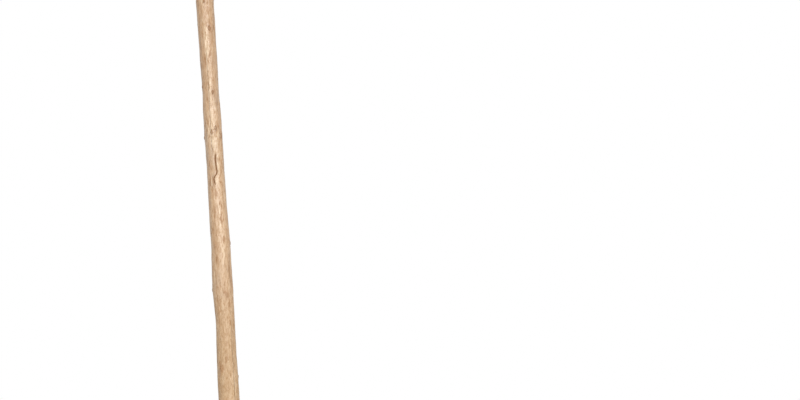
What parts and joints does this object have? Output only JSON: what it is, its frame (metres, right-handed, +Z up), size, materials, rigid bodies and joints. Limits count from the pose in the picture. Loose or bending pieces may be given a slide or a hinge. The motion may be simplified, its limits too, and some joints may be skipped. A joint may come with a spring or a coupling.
{
  "type": "street light pole",
  "caption": "Debarked wooden street light pole with a road lamp on a steel bracket and glass pin insulators on steel hooks for overhead line wires",
  "frame": {"origin": "centre of the log's face at ground level", "axes": "+Z up the pole, +X towards the lamp's side, +Y along the line wires"},
  "size_m": [1.2098, 0.245, 9.5],
  "materials": {
    "weathered_pine": "weathered",
    "hook_steel": "matte",
    "white_plastic": "satin",
    "green_glass": "gloss",
    "galvanised_steel": "satin",
    "grey_casting": "satin",
    "black_rubber": "matte",
    "clear_plastic": "gloss",
    "bright_aluminium": "polished",
    "porcelain": "gloss",
    "bulb_glass": "gloss"
  },
  "bodies": {
    "root": {"pole_log": "weathered_pine", "hook_top_right": "hook_steel", "sleeve_top_right": "white_plastic", "insulator_top_right": "green_glass", "hook_upper_left": "hook_steel", "sleeve_upper_left": "white_plastic", "insulator_upper_left": "green_glass", "hook_lower_right": "hook_steel", "sleeve_lower_right": "white_plastic", "insulator_lower_right": "green_glass", "hook_bottom_left": "hook_steel", "sleeve_bottom_left": "white_plastic", "insulator_bottom_left": "green_glass", "bracket_plate": "galvanised_steel", "bracket_tube": "galvanised_steel", "bracket_lower_rib": "galvanised_steel", "bracket_upper_rib": "galvanised_steel", "lamp_housing": "grey_casting", "lamp_gear_cover": "grey_casting", "lamp_gasket": "black_rubber", "lamp_bowl_frame": "grey_casting", "lamp_bowl": "clear_plastic", "lamp_reflector": "bright_aluminium", "lamp_holder": "porcelain", "lamp_bulb": "bulb_glass", "lamp_latch": "galvanised_steel"}
  },
  "joints": []
}
